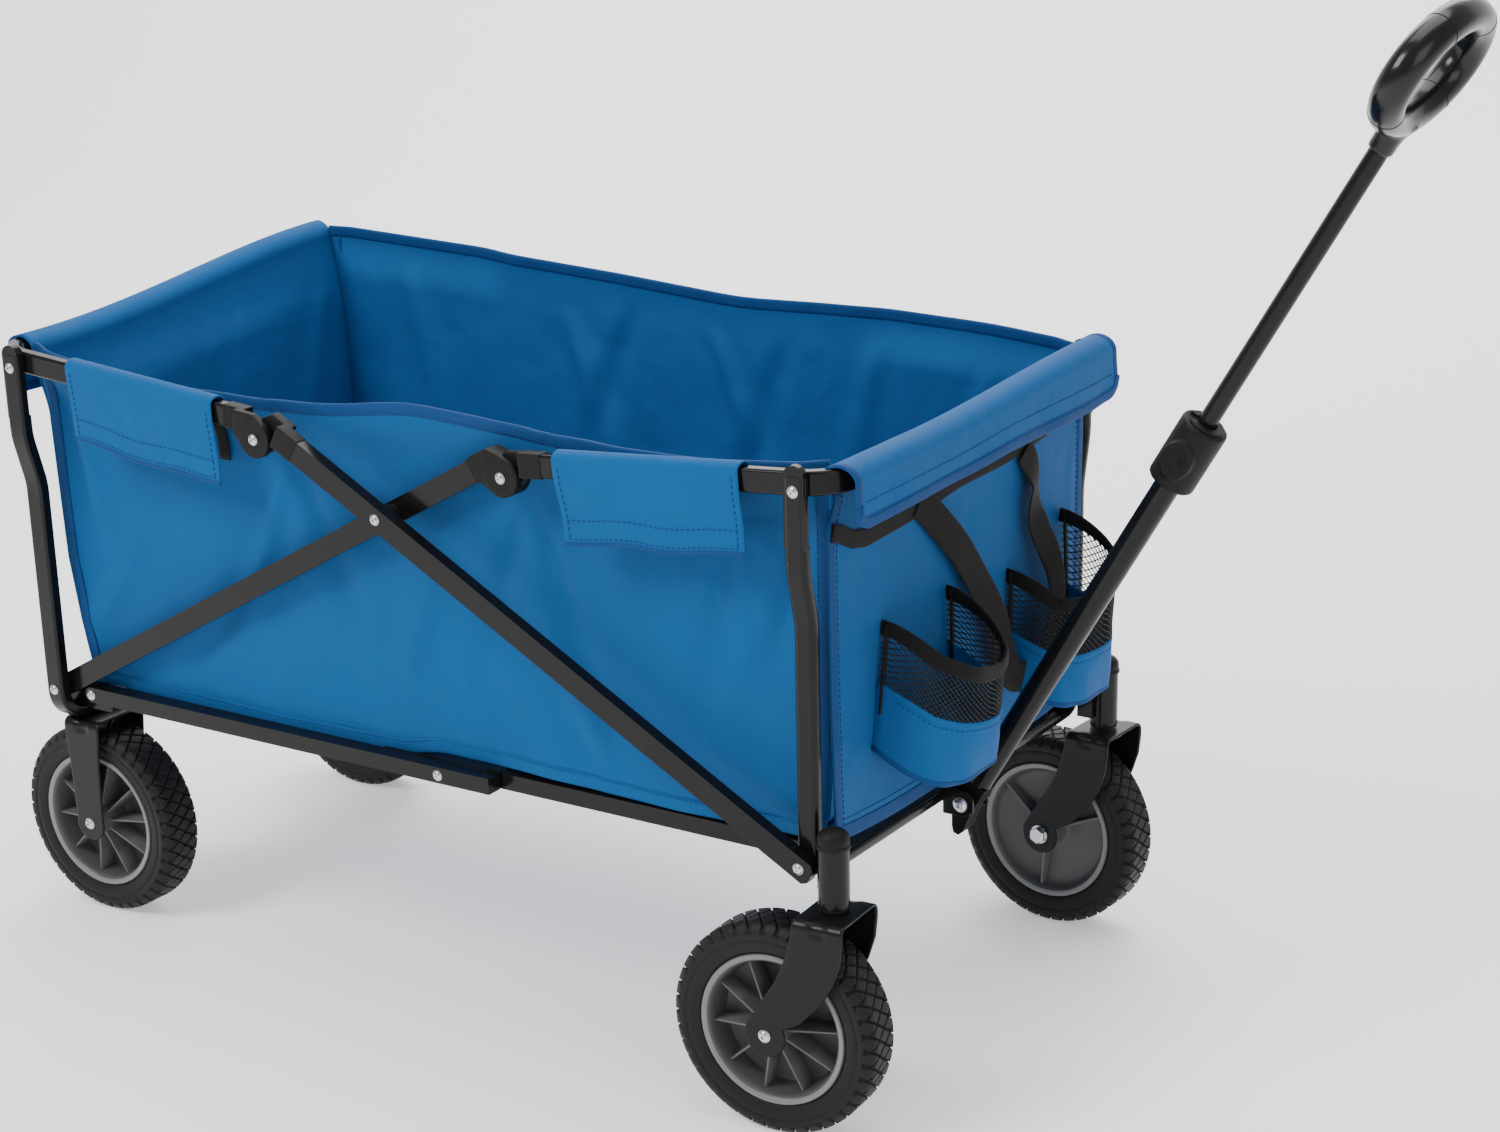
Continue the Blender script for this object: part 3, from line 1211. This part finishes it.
def axle_set(name, ends, half, turn, body, node):
    """Axle bolts with domed head, washer and nut; ends are (hub, side)."""
    parts = []
    for hub, side in ends:
        points, faces = merge([
            lathe(dome(radius=5.0, rise=2.6, socket=2.1, depth=1.3, base=half), 32, flip=side),
            lathe([(4.98, -half - 6.0), (4.98, half)], 24, flip=side),
            lathe([(9.0, -half - 0.05), (9.0, -half - 1.1), (5.0, -half - 1.1),
                   (5.0, -half - 0.05)], 28, flip=side, closed=True),
            hex_nut(8.2, -half - 6.2, -half - 1.1, flip=side)])
        parts.append((turned(np.array(points), turn) + hub, faces))
    place(solid(name, parts, MAT["rivet_steel"]), body, "rivet_steel", node)


axle_set("rear_axle_set", [(wheel_hub("rear_" + label), side) for side, label in SIDES],
         REAR_FORK_HALF, 0.0, "rear_frame", "rear_axles")
for side, label in SIDES:
    axle_set("front_axle_set_" + label, [(wheel_hub("front_" + label), side)],
             CASTER_FORK_HALF, -side * CASTER_TOE, "caster_" + label, "caster_axle_" + label)

# dome caps over the caster stems: radius, z
CAP_RADIUS, CAP_SPRING_Z, CAP_RISE = 13.4, 266.0, 9.5
cap_profile = [(13.9, 258.4), (14.2, 258.9), (14.2, 260.9), (13.9, 261.4), (13.3, 261.8),
               (CAP_RADIUS, CAP_SPRING_Z)]
for i in range(10):
    angle = math.radians(90 * i / 10)
    cap_profile.append((CAP_RADIUS * math.cos(angle), CAP_SPRING_Z + CAP_RISE * math.sin(angle)))
cap_profile.append((0.6, CAP_SPRING_Z + CAP_RISE))
caps = [lathe(cap_profile, 40, (STEM_X, side * STEM_Y, 0.0), axis="z") for side in (1, -1)]
place(solid("stem_dome_caps", caps, PLASTIC, sharp=50), "front_frame", "black_plastic",
      "stem_caps")


# ------------------------------------------------------------------ forks: one bent plate each
def fork_plate(name, half, top, foot, front, back, notch_x, notch_half, turn, origin):
    """Plate bent down on both sides of a wheel.

    foot: x, z and radius of the round foot; front, back: edges as (z, x), local to the origin.
    """
    thick, bend, notch_depth = 2.6, 6.5, 1.5
    foot_x, foot_z, foot_r = foot
    top_z, half_y = top - thick / 2, half - thick / 2
    leg = top_z - bend - (foot_z - foot_r)
    arc = math.pi * bend / 2
    total = 2 * (leg + arc) + 2 * (half_y - bend)

    def eased(u):
        """Share of half the strip, with rows crowded at the foot and the middle."""
        return 0.5 * (1 - np.cos(math.pi * np.clip(u * 2, 0, 1))) * 0.35 + 0.65 * u * 2

    def edge(z, table, sign):
        circle = np.sqrt(np.clip(foot_r ** 2 - (z - foot_z) ** 2, 0.01, None))
        return np.where(z < table[0][0], foot_x + sign * circle, lookup(table, z))

    def surface(u, v):
        run = np.where(u <= 0.5, eased(u), 2 - eased(1 - u)) * total / 2
        m = np.minimum(run, total - run)
        sign = np.where(run <= total / 2, -1.0, 1.0)
        angle = np.clip((m - leg) / bend, 0, math.pi / 2)
        z = np.where(m < leg, foot_z - foot_r + m, top_z - bend + bend * np.sin(angle))
        y = np.where(m < leg + arc, half_y - bend + bend * np.cos(angle),
                     half_y - bend - (m - leg - arc))
        level = np.clip(z, None, top)
        x_back = edge(level, back, -1)
        x = x_back + (edge(level, front, 1) - x_back) * v
        # pressed notch across the bend
        press = np.exp(-(((x - notch_x) / notch_half) ** 4))
        press = press * np.exp(-(((m - leg - arc * 0.35) / 8.0) ** 4)) * notch_depth
        y = y * sign - sign * press * np.cos(angle)
        z = z - press * np.sin(angle)
        return turned(np.stack([x, y, z], -1), turn) + origin
    return sheet(name, surface, 260, 30, thick, MAT["fork_paint"])


# fork edges: z, x
CASTER_FRONT = [(103.0, -33.0), (112.0, -17.0), (132.0, 2.0), (152.0, 14.0), (172.0, 20.5),
                (190.0, 22.5), (204.0, 22.5)]
CASTER_BACK = [(106.6, -62.0), (120.0, -54.0), (145.0, -38.0), (168.0, -28.0), (190.0, -23.0),
               (204.0, -21.0)]
REAR_FRONT = [(98.8, -393.5), (154.0, -391.3), (187.0, -388.3), (202.0, -388.3)]
REAR_BACK = [(98.8, -425.1), (154.0, -427.3), (187.0, -430.3), (202.0, -430.3)]
RACE_PROFILE = [(9.0, 196.0), (17.5, 196.0), (18.6, 197.2), (18.6, 199.8), (17.5, 200.9),
                (9.0, 200.9)]            # radius, z; closed

for side, label in SIDES:
    node, stem = "caster_fork_" + label, (STEM_X, side * STEM_Y, 0.0)
    plate = fork_plate("caster_fork_plate_" + label, half=CASTER_FORK_HALF, top=203.5,
                       foot=(-48.8, WHEEL_RADIUS, 18.0), front=CASTER_FRONT, back=CASTER_BACK,
                       notch_x=0.0, notch_half=8.5, turn=-side * CASTER_TOE, origin=stem)
    place(plate, "caster_" + label, SLOTS[node], node)
    race = solid("caster_race_" + label, [lathe(RACE_PROFILE, 48, stem, axis="z", closed=True)],
                 MAT["fork_paint"])
    place(race, "caster_" + label, SLOTS[node])
    plate = fork_plate("rear_fork_plate_" + label, half=REAR_FORK_HALF, top=201.0,
                       foot=(REAR_WHEEL_X, WHEEL_RADIUS, 16.5), front=REAR_FRONT,
                       back=REAR_BACK, notch_x=REAR_WHEEL_X, notch_half=8.0, turn=0.0,
                       origin=(0.0, side * REAR_FORK_Y, 0.0))
    place(plate, "rear_frame", SLOTS["rear_forks"], *(["rear_forks"] if side > 0 else []))


# ------------------------------------------------------------------ moulded knuckles
def prism(outline, layer, side):
    """Outline in x-z between two distances from the centre plane."""
    points = [(x, side * w, z) for w in layer for x, z in outline]
    return points, loft_faces(2, len(outline))


def convex_hull(points):
    def half_hull(sequence):
        hull = []
        for p in sequence:
            while len(hull) > 1:
                a, b = hull[-2:]
                if (b[0] - a[0]) * (p[1] - b[1]) - (b[1] - a[1]) * (p[0] - b[0]) > 0:
                    break
                hull.pop()
            hull.append(p)
        return hull[:-1]
    points = sorted(set(points))
    return half_hull(points) + half_hull(points[::-1])


def knuckle(pivot, along, offset, sleeve, neck, boss, boss_radius, side):
    """Sleeve on a tube end, a round boss at the pivot and a neck that joins them.

    along points down the tube away from the pivot; offset is how far the tube's line passes
    above the pivot; sleeve, neck and boss are layers between two distances.
    """
    start, end, half, reach = 18.0, 42.0, 10.75, 15.0
    up = (-along[1], along[0]) if along[0] > 0 else (along[1], -along[0])

    def at(s, h):
        return (pivot[0] + along[0] * s + up[0] * h, pivot[1] + along[1] * s + up[1] * h)

    low, high = offset - half, offset + half
    ring = [(pivot[0] + boss_radius * math.cos(a), pivot[1] + boss_radius * math.sin(a))
            for a in np.linspace(0, 2 * math.pi, 40, endpoint=False)]
    neck_outline = convex_hull(ring + [at(start + 7.0, low), at(start + 7.0, high),
                                       at(start - reach, high - 0.4)])
    return [prism([at(start, low), at(end, low), at(end, high), at(start, high)], sleeve, side),
            prism(ring, boss, side), prism(neck_outline, neck, side)]


REAR_PIVOT, FRONT_PIVOT = (-KNUCKLE_X, KNUCKLE_Z), (KNUCKLE_X, KNUCKLE_Z)
RAIL_SLOPE, ARM_SLOPE = math.radians(4.586), math.radians(28.866)
RAIL_COS, RAIL_SIN = math.cos(RAIL_SLOPE), math.sin(RAIL_SLOPE)
ARM_COS, ARM_SIN = math.cos(ARM_SLOPE), math.sin(ARM_SLOPE)
# name, body, pivot, direction, offset, sleeve, neck and boss layers, boss radius
KNUCKLES = [
    ("rear_rail", "rear_rail", REAR_PIVOT, (-RAIL_COS, RAIL_SIN), 11.15,
     (227.2, 240.8), (240.2, 247.4), (240.4, 248.6), 17.0),
    ("outer_arm", "outer_arms", REAR_PIVOT, (ARM_COS, -ARM_SIN), 17.25,
     (236.4, 249.8), (230.0, 240.0), (229.6, 240.0), 15.5),
    ("front_rail", "front_rail", FRONT_PIVOT, (RAIL_COS, RAIL_SIN), 11.15,
     (227.2, 240.8), (229.4, 235.6), (229.3, 235.6), 15.5),
    ("inner_arm", "inner_arms", FRONT_PIVOT, (-ARM_COS, -ARM_SIN), 17.25,
     (211.2, 224.8), (222.0, 240.6), (236.2, 242.0), 17.0),
]
for name, body, *shape in KNUCKLES:
    node = name + "_knuckles"
    parts = [part for side in (1, -1) for part in knuckle(*shape, side)]
    moulding(node + "_moulding", parts, PLASTIC, 0.0009, 4, body, SLOTS[node], node)


# ------------------------------------------------------------------ metalwork
def refine(node, body, bevel):
    """The CAD piece with its edges broken, so that they catch the light."""
    mesh = NODES[node].data.copy()
    bm = bmesh.new()
    bm.from_mesh(mesh)
    bmesh.ops.remove_doubles(bm, verts=bm.verts, dist=2e-6)
    bmesh.ops.dissolve_limit(bm, angle_limit=math.radians(0.6), verts=bm.verts,
                             edges=bm.edges, delimit={"NORMAL"})
    bmesh.ops.recalc_face_normals(bm, faces=bm.faces)
    for face in bm.faces:
        face.smooth = True
    bm.to_mesh(mesh)
    bm.free()
    if mesh.has_custom_normals and "custom_normal" in mesh.attributes:
        mesh.attributes.remove(mesh.attributes["custom_normal"])
    obj = bpy.data.objects.new(node + "_finished", mesh)
    bpy.context.scene.collection.objects.link(obj)
    edges = obj.modifiers.new("edges", "BEVEL")
    edges.width = bevel * 0.001
    edges.segments = 2
    edges.limit_method = "ANGLE"
    edges.angle_limit = math.radians(32.0)
    edges.use_clamp_overlap = True
    edges.harden_normals = False
    obj.modifiers.new("shade", "WEIGHTED_NORMAL").keep_sharp = True
    assign(obj, MAT["frame_paint"])
    place(obj, body, SLOTS[node], node)


for node, body, bevel in (
        ("inner_arms", "inner_arms", 1.8), ("outer_arms", "outer_arms", 1.8),
        ("rear_bottom_bars", "rear_bars", 1.4), ("front_bottom_bars", "front_bars", 1.4),
        ("caster_stems", "front_frame", 0.9), ("handle_foot", "handle_lower", 1.6),
        ("handle_bracket", "front_frame", 0.8)):
    refine(node, body, bevel)

# ------------------------------------------------------------------ handle
HANDLE_PIVOT = (448.0, -15.0, 220.0)
HANDLE_TILT = math.radians(59.6)
ALONG = np.array((math.cos(HANDLE_TILT), 0, math.sin(HANDLE_TILT)))
ACROSS = np.array((0.0, 1.0, 0.0))
AHEAD = np.cross(ACROSS, ALONG)          # forward and down from the tube
GRIP_S, GRIP_HALF_S, GRIP_HALF_Y = 754.25, 44.8, 66.0    # oval of the grip
BUTTON_S = 387.5


def on_handle(s, y=0.0, ahead=0.0):
    """Point at s along the handle from its pivot."""
    return np.array(HANDLE_PIVOT) + s * ALONG + y * ACROSS + ahead * AHEAD


def grip_section(turn, radial, deep, count):
    """Centre and ring of points of the oval grip bar's section at an angle round the oval."""
    cos, sin = math.cos(turn), math.sin(turn)
    centre = on_handle(GRIP_S + GRIP_HALF_S * cos, GRIP_HALF_Y * sin)
    normal = unit(ALONG * (cos * GRIP_HALF_Y) + ACROSS * (sin * GRIP_HALF_S))
    angles = [2 * math.pi * i / count for i in range(count)]
    return centre, [centre + normal * radial * math.cos(a) + AHEAD * deep * math.sin(a)
                    for a in angles]


def along_handle(profile, sides, flatten=1.0):
    """Turned about the handle's axis; rows are (s, radius)."""
    points = []
    for s, radius in profile:
        for i in range(sides):
            a = 2 * math.pi * i / sides
            points.append(on_handle(s, radius * math.cos(a), radius * math.sin(a) * flatten))
    return points, loft_faces(len(profile), sides)


def across_handle(profile, sides, scale_s, scale_ahead):
    """Oval boss at the button; rows are (size, y)."""
    points = []
    for size, y in profile:
        for i in range(sides):
            a = 2 * math.pi * i / sides
            points.append(on_handle(BUTTON_S + scale_s * size * math.cos(a), y,
                                    scale_ahead * size * math.sin(a)))
    return points, loft_faces(len(profile), sides)


def build_grip():
    """Oval ring grip with a flattened neck, and a seam line at four places."""
    ring = [point for i in range(160)
            for point in grip_section(2 * math.pi * i / 160, 12.9, 14.2, 28)[1]]
    neck = [(680.6, 11.4), (681.6, 12.0), (690.0, 12.1), (697.0, 12.9), (703.0, 15.0),
            (708.0, 18.0), (711.0, 19.0)]
    parts = [(ring, loft_faces(160, 28, closed=True)), along_handle(neck, 40, flatten=0.86)]
    moulding("pull_grip", parts, MAT["grip_plastic"], 0.0013, 8, "handle_upper",
             "grip_plastic", "grip")
    for i, turn in enumerate((0.62, -0.62, 2.35, -2.35)):
        centre, points = grip_section(turn, 12.75, 14.05, 48)
        seam = strip(f"grip_seam_{i}", points, unit(np.array(points) - centre), 0.8, 0.7,
                     PLASTIC, closed=True, sides=8)
        place(seam, "handle_upper", "black_plastic")


def build_latch():
    """Collar with an oval housing, split ring in its mouth and ringed push button."""
    sleeve = [(360.4, 17.4), (361.2, 19.2), (362.6, 20.0), (404.0, 20.0), (416.6, 20.0),
              (418.2, 19.3), (418.8, 18.2)]
    housing = [(1.0, -12.0), (1.0, -20.4), (0.965, -21.2), (0.92, -21.5)]
    parts = [along_handle(sleeve, 64), across_handle(housing, 48, 17.5, 13.4)]
    moulding("latch_collar", parts, PLASTIC, 0.0010, 3, "handle_lower", "black_plastic",
             "handle_collar")

    ring_section = [(9.3, 417.6), (15.4, 417.6), (15.9, 418.2), (15.9, 420.2), (15.4, 420.8),
                    (9.3, 420.8)]        # radius, s
    points = []
    for i in range(61):
        angle = math.radians(25 + 310 * i / 60) - 2.0
        for radius, s in ring_section:
            points.append(on_handle(s, radius * math.cos(angle), radius * math.sin(angle)))
    ring = solid("collar_split_ring", [(points, loft_faces(61, 6))], PLASTIC, sharp=40)
    place(ring, "handle_lower", "black_plastic")

    button = [(0.6, -22.4), (2.2, -22.4), (2.5, -22.9), (3.3, -22.9), (3.6, -22.3),
              (4.6, -22.3), (4.9, -22.8), (5.7, -22.8), (6.0, -22.2), (7.0, -22.3),
              (7.6, -22.7), (8.2, -22.4), (8.45, -21.8), (8.45, -15.4), (0.6, -15.4)]
    parts = [across_handle(button, 40, 1.18, 0.98)]
    place(solid("push_button", parts, PLASTIC, sharp=60), "button", "black_plastic",
          "release_button")


def build_handle_bolt():
    head = dome(radius=6.2, rise=3.0, socket=2.4, depth=1.6, base=15.0)
    parts = [lathe(head, 32, HANDLE_PIVOT, flip=-1),
             lathe([(3.98, -15.5), (3.98, 15.0)], 24, HANDLE_PIVOT, flip=-1),
             hex_nut(7.4, 15.0, 19.0, centre=HANDLE_PIVOT)]
    place(solid("handle_pivot_bolt", parts, MAT["rivet_steel"]), "front_frame", "rivet_steel",
          "handle_bolt")


build_grip()
build_latch()
build_handle_bolt()

# ------------------------------------------------------------------ CAD pieces
for node, obj in NODES.items():
    assign(obj, MAT[SLOTS[node]])
    smooth_faces(obj.data)

# ------------------------------------------------------------------ stage, light, camera (m)
VIEW_AZIMUTH = math.radians(31.65)


def build_stage():
    """White floor that sweeps up into a wall behind the cart."""
    floor = Shader("studio_floor")
    floor.surface({"Base Color": (0.93, 0.93, 0.93), "Roughness": 0.9,
                   "Emission Color": (1.0, 1.0, 1.0), "Emission Strength": 0.42})
    bend_x, bend_radius, half_width = 3.2, 2.0, 12.0
    profile = [(-9.0, 0.0), (bend_x, 0.0)]
    for degrees in range(10, 91, 10):
        angle = math.radians(degrees)
        profile.append((bend_x + bend_radius * math.sin(angle),
                        bend_radius - bend_radius * math.cos(angle)))
    profile.append((bend_x + bend_radius, 7.0))
    verts = [(x, y, z) for y, z in profile for x in (-half_width, half_width)]
    faces = [(2 * i, 2 * i + 1, 2 * i + 3, 2 * i + 2) for i in range(len(profile) - 1)]
    stage = add_mesh("studio_sweep", verts, faces, floor.material)
    stage.rotation_euler = (0, 0, VIEW_AZIMUTH)


def build_world():
    world = bpy.data.worlds.new("studio")
    bpy.context.scene.world = world
    world.use_nodes = True
    background = world.node_tree.nodes["Background"]
    background.inputs["Color"].default_value = (1.0, 1.0, 1.0, 1)
    background.inputs["Strength"].default_value = 0.55


def area_light(name, location, aim, size, power):
    light = bpy.data.lights.new(name, "AREA")
    light.energy = power
    light.shape = "RECTANGLE"
    light.size = size
    light.size_y = size
    obj = bpy.data.objects.new(name, light)
    bpy.context.scene.collection.objects.link(obj)
    obj.location = location
    obj.rotation_euler = (Vector(aim) - Vector(location)).to_track_quat("-Z", "Y").to_euler()


def build_camera():
    elevation, roll, distance = math.radians(19.70), math.radians(-0.68), 2.5919
    back = Vector((math.sin(VIEW_AZIMUTH) * math.cos(elevation),
                   -math.cos(VIEW_AZIMUTH) * math.cos(elevation), math.sin(elevation)))
    level = Vector((math.cos(VIEW_AZIMUTH), math.sin(VIEW_AZIMUTH), 0.0))
    upright = back.cross(level)
    right = level * math.cos(roll) + upright * math.sin(roll)
    up = -level * math.sin(roll) + upright * math.cos(roll)
    target = Vector(tuple(metres((303.1, 0.0, 298.2))))
    camera = bpy.data.cameras.new("view")
    camera.sensor_width = 36.0
    camera.lens = 70.2096
    camera.shift_x = -0.05606667
    camera.shift_y = 0.07673333
    obj = bpy.data.objects.new("view", camera)
    bpy.context.scene.collection.objects.link(obj)
    pose = Matrix((right, up, back)).transposed().to_4x4()
    pose.translation = target + back * distance
    obj.matrix_world = pose
    bpy.context.scene.camera = obj


build_stage()
build_world()
area_light("key", (-1.4, -2.6, 3.0), aim=(0.0, 0.0, 0.4), size=1.6, power=105.0)
area_light("fill", (3.2, -1.8, 1.9), aim=(0.1, 0.0, 0.4), size=2.0, power=26.0)
area_light("top", (0.2, 0.4, 3.4), aim=(0.0, 0.0, 0.4), size=2.4, power=70.0)
area_light("floor_wash", (-1.6, 3.6, 3.4), aim=(-2.2, 3.8, 0.0), size=3.6, power=160.0)
build_camera()
bpy.context.view_layer.update()
